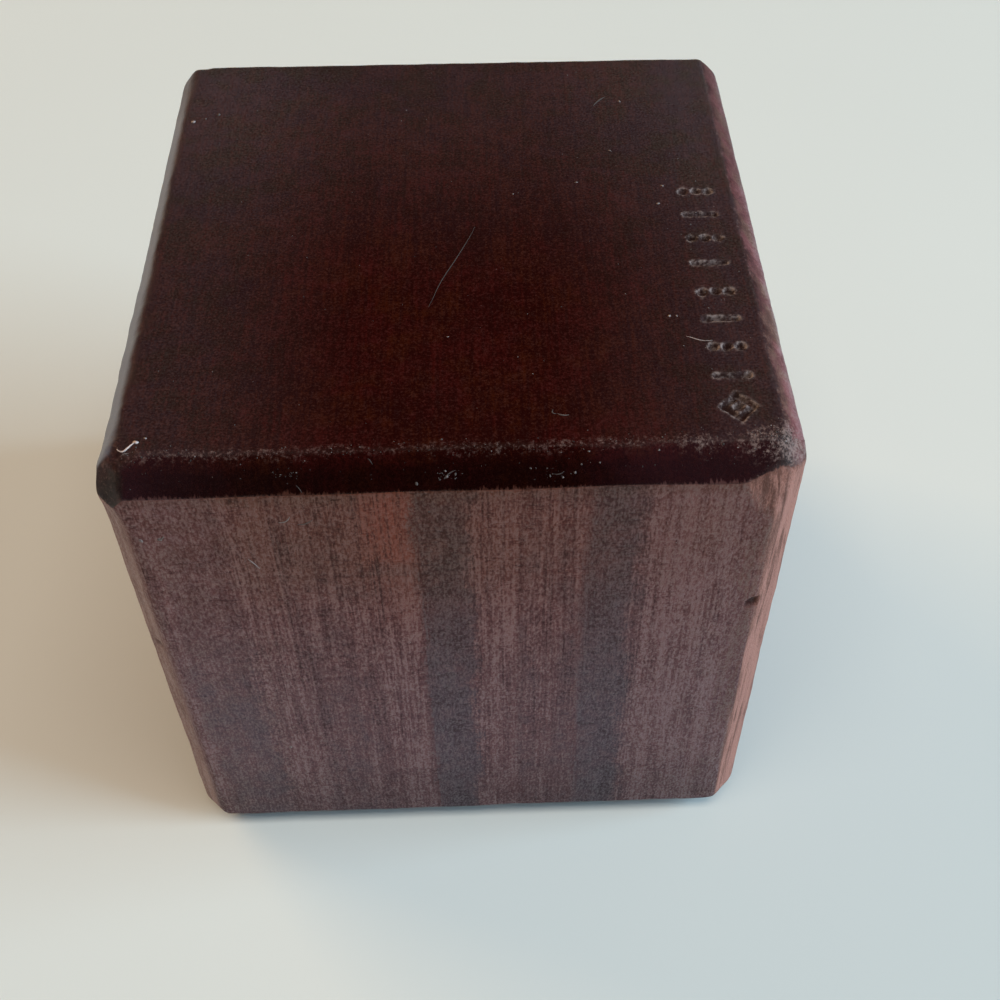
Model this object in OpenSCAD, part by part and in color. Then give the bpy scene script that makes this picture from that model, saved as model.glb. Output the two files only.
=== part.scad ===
// A small wooden block, close to a cube and cut from one piece of wood.
// Flat bevels run along all twelve edges. Wear has rounded the arrises
// and blunted the eight corners. The top carries a row of small punched
// marks beside its right-hand edge, and the front has a few old dents.
//
// Millimetres. +Z is up, +X is to the right and the front faces -Y.
// The origin is the centre of the underside.

/* [Block] */
// Width of the block from left to right
block_w = 50; // [40:1:80]
// Depth of the block from front to back
block_d = 52; // [40:1:80]
// Height of the block
block_h = 50.5; // [40:0.5:80]

/* [Bevels] */
// Bevel between the top and the front
top_front_bevel = 2.3; // [1.2:0.1:3.6]
// Bevel between the top and the back
top_back_bevel = 1.7; // [1.2:0.1:3.6]
// Width on the top of the bevel between the top and the left side
top_left_bevel = 1.5; // [1:0.1:3.6]
// Drop of that bevel down the left side
top_left_drop = 2.1; // [1.2:0.1:3.6]
// Bevel between the top and the right side
top_right_bevel = 1.8; // [1.2:0.1:3.6]
// Upright bevel between the front and the left side
front_left_bevel = 2; // [1.2:0.1:3.6]
// Upright bevel between the front and the right side
front_right_bevel = 2.2; // [1.2:0.1:3.6]
// Bevel between the underside and the front
bottom_front_bevel = 2.3; // [1.2:0.1:3.6]
// Each of the two upright bevels at the back
back_bevel = 1.4; // [0.8:0.1:3.6]
// Each of the other three bevels round the underside
bottom_bevel = 2.1; // [1.2:0.1:3.6]

/* [Wear] */
// Radius worn onto every arris
arris_r = 0.6; // [0.2:0.1:1.2]
// How far the corners at the front are worn back from where bevels meet
corner_wear = 0.7; // [0.2:0.1:1.4]
// Shift of the wear towards the front, which leaves the back corners sharper
wear_shift = 0.5; // [0:0.1:1]
// How far the worn flat at the front right corner reaches along the front
worn_flat_w = 5.1; // [3:0.1:8]
// Turn of the worn flat towards the right side, in degrees
worn_flat_turn = 15; // [8:1:22]
// Lean of the worn flat towards the top, in degrees
worn_flat_lean = 10; // [4:1:20]

/* [Punched marks] */
// Distance of the row from the right side of the block
row_from_right = 4.7; // [4:0.1:12]
// Distance from the front of the block to the centre of the first mark
row_from_front = 5.4; // [4.5:0.1:10]
// Length of each mark across the row
mark_length = 2.8; // [1.5:0.1:3.4]
// Width of each punched stroke
stroke_w = 0.45; // [0.3:0.05:0.7]
// Depth to which the marks are punched
mark_depth = 0.35; // [0.15:0.05:0.8]
// Number of marks in each of the two groups
marks_per_group = 4; // [2:1:5]
// Distance from one mark to the next within a group
mark_pitch = 3.05; // [1.6:0.05:3.4]
// Distance from the first mark to the first group
first_gap = 3.1; // [2.5:0.1:5]
// Distance between the two groups
group_gap = 3.4; // [2:0.1:6]

/* [Dents] */
// Width of the pit in the front, at the edge of the right-hand bevel
pit_w = 1.3; // [0.6:0.1:2.5]
// Depth of the pit
pit_depth = 0.5; // [0.2:0.1:0.6]
// Height of the pit above the underside
pit_z = 34; // [20:1:34]
// Width of the dent in the front left bevel
dent_w = 0.9; // [0.5:0.1:1.6]
// Depth of the dent
dent_depth = 0.25; // [0.1:0.05:0.4]
// Height of the dent above the underside
dent_z = 29.5; // [20:0.5:34]

/* [Hidden] */
$fn = 48;

half_w = block_w / 2;
half_d = block_d / 2;
half_h = block_h / 2;

// Each pair of faces is cut by one section only. Where a section passes a
// face that belongs to another, it stands this far clear of that face.
clear = 0.03;
// How far the sections run past the ends of the block
overrun = 1;

// Ball that blunts the corners, centred behind the middle of the block
inset = bottom_bevel / 2;
corner_reach = norm([half_w - inset, half_d + wear_shift - inset, half_h - inset]);
blunting_r = corner_reach - corner_wear;

// Centre line of the row, and where its marks stand along it
row_x = half_w - row_from_right;
first_mark_y = -half_d + row_from_front;
group_length = (marks_per_group - 1) * mark_pitch;
group_one_y = first_mark_y + first_gap;
group_two_y = group_one_y + group_length + group_gap;
dot_d = 1.6 * stroke_w;

// Width and height of a bevel as wide as it is high
function even(leg) = [leg, leg];

// A bevel's width and height with the rounding of its two arrises added
function rounded_off(leg) = [
    leg.x + arris_r * tan(atan2(leg.y, leg.x) / 2),
    leg.y + arris_r * tan(atan2(leg.x, leg.y) / 2),
];

// Corners of a bevelled rectangle moved inwards by the arris radius.
// The bevels are given as right low, right high, left high and left low.
function inner_corners(w, h, bevels) =
    let (cut = [for (leg = bevels) rounded_off(leg)])
    [
        [w / 2 - cut[0].x, -h / 2 + arris_r],
        [w / 2 - arris_r, -h / 2 + cut[0].y],
        [w / 2 - arris_r, h / 2 - cut[1].y],
        [w / 2 - cut[1].x, h / 2 - arris_r],
        [-w / 2 + cut[2].x, h / 2 - arris_r],
        [-w / 2 + arris_r, h / 2 - cut[2].y],
        [-w / 2 + arris_r, -h / 2 + cut[3].y],
        [-w / 2 + cut[3].x, -h / 2 + arris_r],
    ];

// Bevelled rectangle with each of its eight arrises rounded. Its sides
// stand clear_w and clear_h outside w and h, with the bevels where they were.
module worn_section(w, h, bevels, clear_w, clear_h) {
    points = inner_corners(
        w + 2 * clear_w,
        h + 2 * clear_h,
        [for (leg = bevels) leg * (1 + clear_w / leg.x + clear_h / leg.y)]
    );
    polygon(points);
    for (i = [0 : len(points) - 1]) {
        run = points[(i + 1) % len(points)] - points[i];
        translate(points[i]) {
            circle(r = arris_r);
            rotate(atan2(run.y, run.x))
                translate([0, -arris_r])
                    square([norm(run), arris_r]);
        }
    }
}

// Width and depth section, which gives the four sides and upright bevels
module upright_section() {
    linear_extrude(height = block_h + 2 * overrun, center = true)
        worn_section(
            block_w, block_d,
            [even(front_right_bevel), even(back_bevel), even(back_bevel), even(front_left_bevel)],
            0, 0
        );
}

// Width and height section, which gives the top, the underside and the
// bevels that run from front to back
module width_section() {
    rotate([90, 0, 0])
        linear_extrude(height = block_d + 2 * overrun, center = true)
            worn_section(
                block_w, block_h,
                [
                    even(bottom_bevel), even(top_right_bevel),
                    [top_left_bevel, top_left_drop], even(bottom_bevel),
                ],
                clear, 0
            );
}

// Depth and height section, which gives the bevels that run from left to right
module depth_section() {
    rotate([90, 0, 90])
        linear_extrude(height = block_w + 2 * overrun, center = true)
            worn_section(
                block_d, block_h,
                [
                    even(bottom_bevel), even(top_back_bevel),
                    even(top_front_bevel), even(bottom_front_bevel),
                ],
                clear, clear
            );
}

// The bevelled block before it was marked and dented
module bevelled_block() {
    translate([0, 0, half_h])
        intersection() {
            upright_section();
            width_section();
            depth_section();
            translate([0, wear_shift, 0])
                sphere(r = blunting_r, $fn = 96);
        }
}

// Shallow flat that wear has left where the front meets the top and the
// front right bevel
module worn_flat() {
    tool = 3 * worn_flat_w;
    translate([half_w - worn_flat_w, -half_d, block_h - top_front_bevel])
        rotate([-worn_flat_lean, 0, worn_flat_turn])
            translate([-tool / 2, -tool, -tool / 2])
                cube(tool);
}

// One straight stroke across the row
module punched_bar() {
    cube([mark_length, stroke_w, 2 * mark_depth], center = true);
}

// Three round dots across the row
module punched_dots() {
    for (side = [-1 : 1])
        translate([side * (mark_length - dot_d) / 2, 0, 0])
            cylinder(d = dot_d, h = 2 * mark_depth, center = true);
}

// Square outline standing on its corner, with a dot in the middle
module punched_lozenge() {
    side = mark_length / sqrt(2);
    hollow = side - 2 * stroke_w;
    rotate(45)
        difference() {
            cube([side, side, 2 * mark_depth], center = true);
            cube([hollow, hollow, 3 * mark_depth], center = true);
        }
    cylinder(d = dot_d, h = 2 * mark_depth, center = true);
}

// One group of bars and dots in turn
module punched_group() {
    for (i = [0 : marks_per_group - 1])
        translate([0, i * mark_pitch, 0]) {
            if (i % 2 == 0)
                punched_bar();
            else
                punched_dots();
        }
}

// The whole row on the top, beside its right-hand edge
module punched_row() {
    translate([row_x, 0, block_h]) {
        translate([0, first_mark_y, 0])
            punched_lozenge();
        translate([0, group_one_y, 0])
            punched_group();
        translate([0, group_two_y, 0])
            punched_group();
    }
}

// Ball that cuts a round dent of the given width and depth into a surface
// that faces -Y at the origin
module dent_ball(width, depth) {
    ball_r = (width * width / 4 + depth * depth) / (2 * depth);
    translate([0, depth - ball_r, 0])
        sphere(r = ball_r);
}

// Pit in the front where a fleck of grain has torn out beside the bevel
module pit() {
    translate([half_w - front_right_bevel - pit_w / 4, -half_d, pit_z])
        dent_ball(pit_w, pit_depth);
}

// Dent in the middle of the front left bevel
module left_dent() {
    translate([-half_w + front_left_bevel / 2, -half_d + front_left_bevel / 2, dent_z])
        rotate([0, 0, -45])
            dent_ball(dent_w, dent_depth);
}

module block() {
    color("saddlebrown")
        difference() {
            bevelled_block();
            worn_flat();
            punched_row();
            pit();
            left_dent();
        }
}

block();
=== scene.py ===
"""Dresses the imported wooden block: a worn body in dark varnished wood, with its punched row, dust and lint."""

import math

import bpy
import numpy as np
from bpy.props import FloatProperty, FloatVectorProperty, IntProperty, PointerProperty
from bpy.types import Operator, Panel, PropertyGroup
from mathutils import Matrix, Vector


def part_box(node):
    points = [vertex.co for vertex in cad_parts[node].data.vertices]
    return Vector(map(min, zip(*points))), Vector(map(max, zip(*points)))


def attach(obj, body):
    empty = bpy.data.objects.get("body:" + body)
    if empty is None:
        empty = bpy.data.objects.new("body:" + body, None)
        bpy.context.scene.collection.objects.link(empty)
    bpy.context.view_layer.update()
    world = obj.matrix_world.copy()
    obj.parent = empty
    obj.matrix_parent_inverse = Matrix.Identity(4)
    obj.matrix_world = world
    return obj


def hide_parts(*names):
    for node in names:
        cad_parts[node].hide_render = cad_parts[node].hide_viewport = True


bl_info = {
    "name": "Worn wooden block",
    "version": (1, 0, 0),
    "blender": (4, 5, 0),
    "location": "3D View > Sidebar > Wooden block",
    "description": "Builds the looks of a small bevelled block of dark wood",
    "category": "Object",
}

MM = 0.001

# What the mesh of the block stores at each point for its material.
LAYERS = ("worn", "upward", "rubbed", "right_top", "left_top", "left_upright", "bevel", "arris", "rim", "sunk")

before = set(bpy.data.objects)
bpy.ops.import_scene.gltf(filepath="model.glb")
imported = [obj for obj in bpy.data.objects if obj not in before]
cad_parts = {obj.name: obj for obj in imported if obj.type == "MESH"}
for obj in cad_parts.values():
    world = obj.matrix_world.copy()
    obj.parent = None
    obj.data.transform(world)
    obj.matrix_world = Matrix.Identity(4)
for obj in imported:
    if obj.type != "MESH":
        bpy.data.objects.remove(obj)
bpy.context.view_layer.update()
LOW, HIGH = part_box("block")
WIDTH, DEPTH, HEIGHT = ((HIGH[i] - LOW[i]) / MM for i in range(3))


# ---------------------------------------------------------------- settings


def size(name, description, default, low=0.0, high=100.0):
    """A length in millimetres that the user may change."""
    return FloatProperty(name=name, description=description, default=default, min=low, max=high, precision=3)


def turn(name, description, degrees):
    """An angle that the user may change."""
    return FloatProperty(name=name, description=description, default=math.radians(degrees), subtype="ANGLE")


def amount(name, description, default):
    """A power or strength that the user may change."""
    return FloatProperty(name=name, description=description, default=default, min=0)


def colour(name, description, default):
    """A linear colour that the user may change."""
    kind = {"subtype": "COLOR", "size": 3, "min": 0, "max": 1}
    return FloatVectorProperty(name=name, description=description, default=default, **kind)


class BlockSizes(PropertyGroup):
    """Sizes of the body in millimetres, as in the construction."""

    top_front: size("Top front bevel", "Leg of the bevel between top and front", 2.3, 1, 4)
    top_back: size("Top back bevel", "Leg of the bevel between top and back", 1.7, 1, 4)
    top_left: size("Top left bevel", "Width on the top of the bevel between top and left side", 1.5, 1, 4)
    top_left_drop: size("Top left drop", "Drop of that bevel down the left side", 2.1, 1, 4)
    top_right: size("Top right bevel", "Leg of the bevel between top and right side", 1.8, 1, 4)
    front_left: size("Front left bevel", "Leg of the upright bevel at the front left", 2.0, 1, 4)
    front_right: size("Front right bevel", "Leg of the upright bevel at the front right", 2.2, 1, 4)
    bottom_front: size("Bottom front bevel", "Leg of the bevel under the front", 2.3, 1, 4)
    back: size("Back bevels", "Leg of the two upright bevels at the back", 1.4, 0.5, 4)
    bottom: size("Bottom bevels", "Leg of the other three bevels round the underside", 2.1, 1, 4)
    corner_wear: size("Corner wear", "How far the front corners are worn back", 0.7, 0, 2)
    wear_shift: size("Wear shift", "Shift of the wear towards the front", 0.5, 0, 2)
    flat_w: size("Worn flat", "Reach of the worn flat along the front", 5.1, 2, 9)
    flat_turn: turn("Worn flat turn", "Turn of the worn flat away from the front", 15)
    flat_lean: turn("Worn flat lean", "Lean of the worn flat from upright", 10)
    softness: size("Arris softness", "Width over which two faces blend at an arris", 0.085, 0.02, 0.5)
    waviness: size("Bevel waviness", "How far the hand-cut bevels wander", 0.05, 0, 0.3)


class MarkSizes(PropertyGroup):
    """Sizes of the punched row, the pit and the dent in millimetres."""

    from_right: size("From the right", "Distance of the row from the right side", 4.7, 3, 12)
    from_front: size("From the front", "Distance of the first mark from the front", 5.4, 3, 12)
    length: size("Mark length", "Length of each mark across the row", 2.8, 1, 4)
    stroke: size("Stroke width", "Width of each punched stroke", 0.45, 0.2, 1)
    depth: size("Mark depth", "Depth of the marks", 0.35, 0.1, 1)
    per_group: IntProperty(name="Marks per group", description="Marks in each group", default=4, min=1, max=6)
    pitch: size("Mark pitch", "Distance from one mark to the next", 3.05, 1, 5)
    first_gap: size("First gap", "Distance from the first mark to the first group", 3.1, 1, 6)
    group_gap: size("Group gap", "Distance between the two groups", 3.4, 1, 8)
    pit_w: size("Pit width", "Width of the pit in the front", 1.05, 0.3, 3)
    pit_depth: size("Pit depth", "Depth of the pit", 0.42, 0.1, 1)
    pit_z: size("Pit height", "Height of the pit above the underside", 34.0, 5, 45)
    dent_w: size("Dent width", "Width of the dent in the left bevel", 0.9, 0.3, 3)
    dent_depth: size("Dent depth", "Depth of the dent", 0.25, 0.1, 1)
    dent_z: size("Dent height", "Height of the dent above the underside", 29.5, 5, 45)


class WoodColours(PropertyGroup):
    """Colours of the wood and of what lies on it."""

    # Painted shade: the colour that the varnish of the front bevel darkens to.
    painted_shade_varnish: colour("Varnish, darkest", "Varnish of the front bevel", (0.0032, 0.0003, 0.0003))
    varnish_dark: colour("Varnish, dark", "Dark red-brown of the varnished top", (0.016, 0.0014, 0.001))
    varnish_light: colour("Varnish, light", "Lighter lines of the varnished top", (0.043, 0.0036, 0.0028))
    varnish_brown: colour("Varnish, brown", "Browner patches of those lines", (0.0405, 0.006, 0.0014))
    wood_dark: colour("Wood, dark", "Grooves in the streaky bands of the front", (0.062, 0.017, 0.016))
    wood_mid: colour("Wood, middle", "Streaky bands of the front", (0.138, 0.047, 0.046))
    wood_light: colour("Wood, light", "Lightest streaks of the front", (0.25, 0.125, 0.12))
    rubbed_dark: colour("Rubbed wood, dark", "Darker streaks of the rubbed bevels", (0.12, 0.046, 0.034))
    rubbed_light: colour("Rubbed wood, light", "Lighter streaks of the rubbed bevels", (0.385, 0.168, 0.133))
    # Painted light and reflection: streak colours of the bevel at the front left, lighter than the wood's own tone.
    left_upright_painted_light_dark: colour("Left upright, dark", "Darker streaks of the bevel at the front left", (0.235, 0.123, 0.11))
    left_upright_painted_light_pale: colour("Left upright, light", "Lighter streaks of that bevel", (0.38, 0.238, 0.22))
    edge_pink: colour("Edge, pink", "Rubbed edge of the top at the right, pinker patches", (0.31, 0.102, 0.102))
    edge_peach: colour("Edge, peach", "Rubbed edge of the top at the right, browner patches", (0.27, 0.133, 0.098))
    edge_pale: colour("Edge, pale", "Where the right-hand bevel is rubbed palest", (0.3, 0.25, 0.26))
    # Painted reflection: bluish grey sheen on the bevel at the left of the top.
    left_top_painted_sheen: colour("Edge, grey", "Rubbed edge of the top at the left", (0.205, 0.245, 0.34))
    slate_dark: colour("Slate, dark", "Grooves in the smooth dark bands", (0.066, 0.029, 0.031))
    slate: colour("Slate", "Smooth dark bands of the front", (0.118, 0.06, 0.064))
    orange: colour("Orange wood", "Orange patch on the front", (0.24, 0.06, 0.034))
    stain: colour("Stain, dark", "Grooves of the brown stain below the varnished top", (0.05, 0.019, 0.012))
    stain_light: colour("Stain, light", "Brown stain below the varnished top", (0.15, 0.064, 0.046))
    pale: colour("Chipped wood", "Pale specks along the arrises", (0.28, 0.185, 0.165))
    # Dust and painted sheen: the film over the varnish, which grows towards the sides and the back of the top.
    dust_and_sheen_green: colour("Greenish dust", "Film of dust over the varnish, in places", (0.37, 0.365, 0.33))
    dust: colour("Dust", "Thin film of dust", (0.39, 0.345, 0.4))
    haze: colour("Haze", "Purple haze on both ends of the front bevel", (0.3, 0.1, 0.15))
    # Dust and a painted highlight on the rims of the marks, dust on their floors.
    mark_dust_and_highlight: colour("Dust in the marks", "Dust on the rims and floors of the marks", (0.43, 0.33, 0.31))
    lint: colour("Lint", "Threads and crumbs of dust", (0.66, 0.52, 0.5))


class StageSettings(PropertyGroup):
    """Floor and lamps."""

    floor: colour("Floor", "Colour of the floor", (0.775, 0.775, 0.75))
    window_power: amount("Window power", "Power of the cool lamp at the right", 32.0)
    overhead_power: amount("Overhead power", "Power of the lamp overhead", 21.0)
    wall_power: amount("Wall power", "Power of the warm lamp at the back left", 12.0)
    room: amount("Room light", "Strength of the light from the room", 0.12)


# ---------------------------------------------------------------- numbers


def smooth(low, high, x):
    """Eases from 0 at low to 1 at high: three t squared minus two t cubed."""
    t = np.clip((x - low) / (high - low), 0, 1)
    return t * t * (3 - 2 * t)


def waves(points, length, seed, count=9):
    """Sum of plane waves of about the given length in random directions, with a value of about -1 to 1."""
    rng = np.random.default_rng(seed)
    directions = rng.normal(size=(count, points.shape[-1]))
    directions /= np.linalg.norm(directions, axis=1)[:, None]
    lengths = length * rng.uniform(0.65, 1.6, count)
    phases = rng.uniform(0, 2 * np.pi, count)
    turns = points @ (directions / lengths[:, None]).T
    return np.cos(2 * np.pi * turns + phases).sum(-1) / math.sqrt(count) / 1.3


def spread_lines(half, spacing):
    """Grid lines from -half to half. Each gap follows spacing(x): the lines stand where the running sum of 1 / spacing
    reaches whole numbers."""
    x = np.linspace(-half, half, 20001)
    gaps = spacing(x)
    total = np.concatenate([[0], np.cumsum(np.diff(x) * 2 / (gaps[1:] + gaps[:-1]))])
    count = int(math.ceil(total[-1]))
    return np.interp(np.linspace(0, total[-1], count + 1), total, x)


def near(x, centre, reach):
    """1 where x is within reach of the centre, easing to 0 over a third as far again."""
    return 1 - smooth(reach, 1.35 * reach, np.abs(x - centre))


def box_shell(xs, ys, zs):
    """Closed shell of a box divided by three sets of lines: its points and its four-sided faces, facing outwards."""
    n, m, l = len(xs), len(ys), len(zs)
    i, j, k = np.meshgrid(np.arange(n), np.arange(m), np.arange(l), indexing="ij")
    skin = (i == 0) | (i == n - 1) | (j == 0) | (j == m - 1) | (k == 0) | (k == l - 1)
    ids = np.full((n, m, l), -1, np.int64)
    ids[skin] = np.arange(skin.sum())
    points = np.stack([xs[i[skin]], ys[j[skin]], zs[k[skin]]], -1)

    def sheet(grid, outwards):
        a, b, c, d = grid[:-1, :-1], grid[1:, :-1], grid[1:, 1:], grid[:-1, 1:]
        quads = np.stack([a, b, c, d] if outwards else [a, d, c, b], -1)
        return quads.reshape(-1, 4)

    outward_sheets = [sheet(grid, True) for grid in (ids[:, :, -1], ids[-1], ids[:, 0])]
    inward_sheets = [sheet(grid, False) for grid in (ids[:, :, 0], ids[0], ids[:, -1])]
    return points, np.concatenate(outward_sheets + inward_sheets)


def new_mesh(name, points, faces, sizes=None):
    """Puts points in millimetres and faces into a mesh object. sizes gives each face's corners, four if left out."""
    mesh = bpy.data.meshes.new(name)
    loops = np.asarray(faces, np.int32).ravel()
    counts = np.full(len(loops) // 4, 4, np.int32) if sizes is None else np.asarray(sizes, np.int32)
    starts = np.concatenate([[0], np.cumsum(counts)[:-1]]).astype(np.int32)
    mesh.vertices.add(len(points))
    mesh.vertices.foreach_set("co", (np.asarray(points, np.float64) * MM).astype(np.float32).ravel())
    mesh.loops.add(len(loops))
    mesh.loops.foreach_set("vertex_index", loops)
    mesh.polygons.add(len(counts))
    mesh.polygons.foreach_set("loop_start", starts)
    mesh.polygons.foreach_set("loop_total", counts)
    mesh.polygons.foreach_set("use_smooth", np.ones(len(counts), bool))
    mesh.update(calc_edges=True)
    mesh.validate()
    piece = bpy.data.objects.new(name, mesh)
    bpy.context.scene.collection.objects.link(piece)
    return piece


def add_layer(piece, name, values):
    """Stores one number per point for the material to read."""
    layer = piece.data.attributes.new(name, "FLOAT", "POINT")
    layer.data.foreach_set("value", np.asarray(values, np.float32))


# ---------------------------------------------------------------- the body


def row_places(m):
    """Where the marks of the punched row stand: the row's x, the first mark's y, and the bars' and dots' y."""
    row_x = WIDTH / 2 - m.from_right
    first_y = -DEPTH / 2 + m.from_front
    one = first_y + m.first_gap + m.pitch * np.arange(m.per_group)
    two = one[-1] + m.group_gap + m.pitch * np.arange(m.per_group)
    group = np.arange(m.per_group) % 2 == 0
    both, bars = np.concatenate([one, two]), np.concatenate([group, group])
    return row_x, first_y, both[bars], both[~bars]


def body_planes(s):
    """Names, outward normals and distances from the middle of the faces, the bevels and the worn flat. A bevel with
    legs p and q along its two axes has the normal (q, p) / r and the distance (q a + p b - p q) / r, where a and b are
    the half sizes of the block along those axes and r is the length of (p, q)."""
    half = np.array([WIDTH, DEPTH, HEIGHT]) / 2
    faces = {
        "right": (1, 0, 0), "left": (-1, 0, 0), "back": (0, 1, 0),
        "front": (0, -1, 0), "top": (0, 0, 1), "under": (0, 0, -1),
    }
    bevels = {
        "top_front": ((0, -1, 1), s.top_front),
        "top_back": ((0, 1, 1), s.top_back),
        "top_left": ((-1, 0, 1), s.top_left, s.top_left_drop),
        "top_right": ((1, 0, 1), s.top_right),
        "front_left": ((-1, -1, 0), s.front_left),
        "front_right": ((1, -1, 0), s.front_right),
        "bottom_front": ((0, -1, -1), s.bottom_front),
        "bottom_back": ((0, 1, -1), s.bottom),
        "bottom_left": ((-1, 0, -1), s.bottom),
        "bottom_right": ((1, 0, -1), s.bottom),
        "back_left": ((-1, 1, 0), s.back),
        "back_right": ((1, 1, 0), s.back),
    }
    planes = {name: (way, np.abs(way) @ half) for name, way in faces.items()}
    for name, (way, p, *drop) in bevels.items():
        q = drop[0] if drop else p
        way, first, second = np.array(way, float), *np.flatnonzero(way)
        way[first] *= q
        way[second] *= p
        planes[name] = (way / math.hypot(p, q), (np.abs(way) @ half - p * q) / math.hypot(p, q))
    out, up = math.cos(s.flat_lean), math.sin(s.flat_lean)
    normal = np.array([out * math.sin(s.flat_turn), -out * math.cos(s.flat_turn), up])
    start = half * (1, -1, 1) - (s.flat_w, 0, s.top_front)
    planes["worn_flat"] = (normal, normal @ start)
    normals, reach = zip(*planes.values())
    return list(planes), np.array(normals, float), np.array(reach, float)


# Steps of Newton's method, and how far the faces sink to stay in their box: two of them by more than the others.
NEWTON_STEPS, SINK, LEAST_SINK = 14, {"top": 0.075, "front": 0.07}, 0.03


def worn_body(directions, s):
    """Where rays from the middle meet the body: where the smooth maximum over the planes of (normal . p - distance) and
    over the ball of (|p - centre| - radius) is zero. The smooth maximum is w log sum exp(d / w), which rounds every
    arris over the width w. Newton's method finds each ray's length. Returns the points, the share that each plane has
    in them, and the outward normals."""
    names, normals, reach = body_planes(s)
    inset, centre = s.bottom / 2, np.array([0, s.wear_shift, 0])
    corner = np.array([WIDTH / 2 - inset, DEPTH / 2 + s.wear_shift - inset, HEIGHT / 2 - inset])
    ball = np.linalg.norm(corner) - s.corner_wear
    facing = directions @ normals.T
    length = np.min(np.where(facing > 1e-6, reach / np.maximum(facing, 1e-6), 1e9), 1)
    length = np.minimum(length, ball)
    moved, width = np.zeros_like(facing), np.full(len(directions), s.softness)
    for step in range(2):
        for _ in range(NEWTON_STEPS):
            spoke = directions * length[:, None] - centre
            far = np.linalg.norm(spoke, axis=1)[:, None]
            gap = np.concatenate([facing * length[:, None] - reach - moved, far - ball], 1)
            top = gap.max(1)
            share = np.exp((gap - top[:, None]) / width[:, None])
            total = share.sum(1)
            share /= total[:, None]
            value = top + width * np.log(total)
            slope = (share[:, :-1] * facing).sum(1) + share[:, -1] * (spoke * directions).sum(1) / far[:, 0]
            length = length - value / slope
        if step == 0:
            p = directions * length[:, None]
            moved, width = hand_work(p, names, s)
    points = directions * length[:, None]
    outward = share[:, :-1] @ normals + share[:, -1:] * spoke / far
    outward /= np.linalg.norm(outward, axis=1)[:, None]
    return points, dict(zip(names, share[:, :-1].T)), outward


def hand_work(p, names, s):
    """How far each plane wanders at each point, and how soft the arrises are there. Faces only sink, by up to a few
    hundredths of a millimetre, so that the body stays in its box. Bevels wander both ways."""
    moved = np.zeros((len(p), len(names)))
    for n, name in enumerate(names):
        if n < 6:
            moved[:, n] = -SINK.get(name, LEAST_SINK) - 0.015 * waves(p, 26, 40 + n) - 0.003 * waves(p, 5, 60 + n)
        elif name != "worn_flat":
            moved[:, n] = s.waviness * (waves(p, 13, 80 + n) + 0.2 * waves(p, 3.2, 120 + n))
    moved[:, names.index("front_left")] += 0.6 * smooth(HEIGHT / 2 - 5.5, HEIGHT / 2 - 2.0, p[:, 2])
    moved[:, names.index("top_left")] += 0.25 * smooth(-DEPTH / 2 + 6.0, -DEPTH / 2 + 2.0, p[:, 1])
    width = s.softness * (1 + 0.45 * waves(p, 4.5, 7) + 0.25 * waves(p, 1.4, 8))
    close = [near(np.abs(p[:, n]), half, 3.4) for n, half in enumerate((WIDTH / 2, DEPTH / 2, HEIGHT / 2))]
    upper = near(p[:, 1], -DEPTH / 2 + s.top_front, 0.9) * near(p[:, 2], HEIGHT / 2, 0.6)
    lower = near(p[:, 1], -DEPTH / 2, 0.6) * near(p[:, 2], HEIGHT / 2 - s.top_front, 0.9)
    left_top = near(p[:, 0], -WIDTH / 2 + 1.5, 1.2) * near(p[:, 2], HEIGHT / 2, 0.5)
    corner = close[0] * close[1] * close[2]
    width = width * (1 + 0.5 * upper - 0.55 * lower + left_top + 0.3 * corner)
    return moved, np.maximum(width, 0.35 * s.softness)


def box_gap(x, y, half_x, half_y, round_r=0.0):
    """Signed distance in the plane to a rectangle with rounded corners, negative inside."""
    dx, dy = np.abs(x) - half_x + round_r, np.abs(y) - half_y + round_r
    return np.hypot(np.maximum(dx, 0), np.maximum(dy, 0)) + np.minimum(np.maximum(dx, dy), 0) - round_r


def mark_gap(x, y, m):
    """Signed distance in the plane of the top to the nearest punched mark: bars, three dots across the row, and a
    square outline on its corner with a dot in it."""
    row_x, first_y, bars, dots = row_places(m)
    half, dot_r = m.length / 2, 0.8 * m.stroke
    gap = np.full(x.shape, 1e3)
    for y0 in bars:
        gap = np.minimum(gap, box_gap(x - row_x, y - y0, half, m.stroke / 2, 0.16))
    for y0 in dots:
        for side in (-1, 0, 1):
            gap = np.minimum(gap, np.hypot(x - row_x - side * (half - dot_r), y - y0) - dot_r)
    u, v = (x - row_x + y - first_y) * math.sqrt(0.5), (y - first_y - x + row_x) * math.sqrt(0.5)
    side = m.length * math.sqrt(0.5) / 2
    outline = np.maximum(box_gap(u, v, side, side, 0.1), -box_gap(u, v, side - m.stroke, side - m.stroke))
    gap = np.minimum(gap, outline)
    return np.minimum(gap, np.hypot(x - row_x, y - first_y) - dot_r)


# Gaps between the grid lines in millimetres: on the flats, and in steps towards an edge, each with its distance from
# the edge. Then on a punched mark, along the first one, beside the marks, and at the pit and the dent.
FLAT_GAP, EDGE_GAPS = 1.15, ((3.4, 0.28), (2.7, 0.14), (1.45, 0.42))
STROKE_GAP, FIRST_GAP, BESIDE_GAP, PIT_GAP = 0.115, 0.125, 0.45, 0.16

# How far the close lines reach past a mark's end, to each side of a stroke, and to each side of the pit and the dent.
PAST_MARK, PAST_STROKE, PAST_PIT, PAST_DENT = 0.3, 0.62, 1.1, 0.8


def edge_gaps(x, half):
    """Gaps between grid lines where nothing but the edges calls for closer ones."""
    gaps = np.full(x.shape, FLAT_GAP)
    for inset, gap in EDGE_GAPS:
        gaps = np.where(half - np.abs(x) < inset, gap, gaps)
    return gaps


def crowd(gaps, x, centre, reach, gap):
    """The gaps, no wider than gap where x is within reach of the centre."""
    return np.where(np.abs(x - centre) < reach, np.minimum(gaps, gap), gaps)


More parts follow.
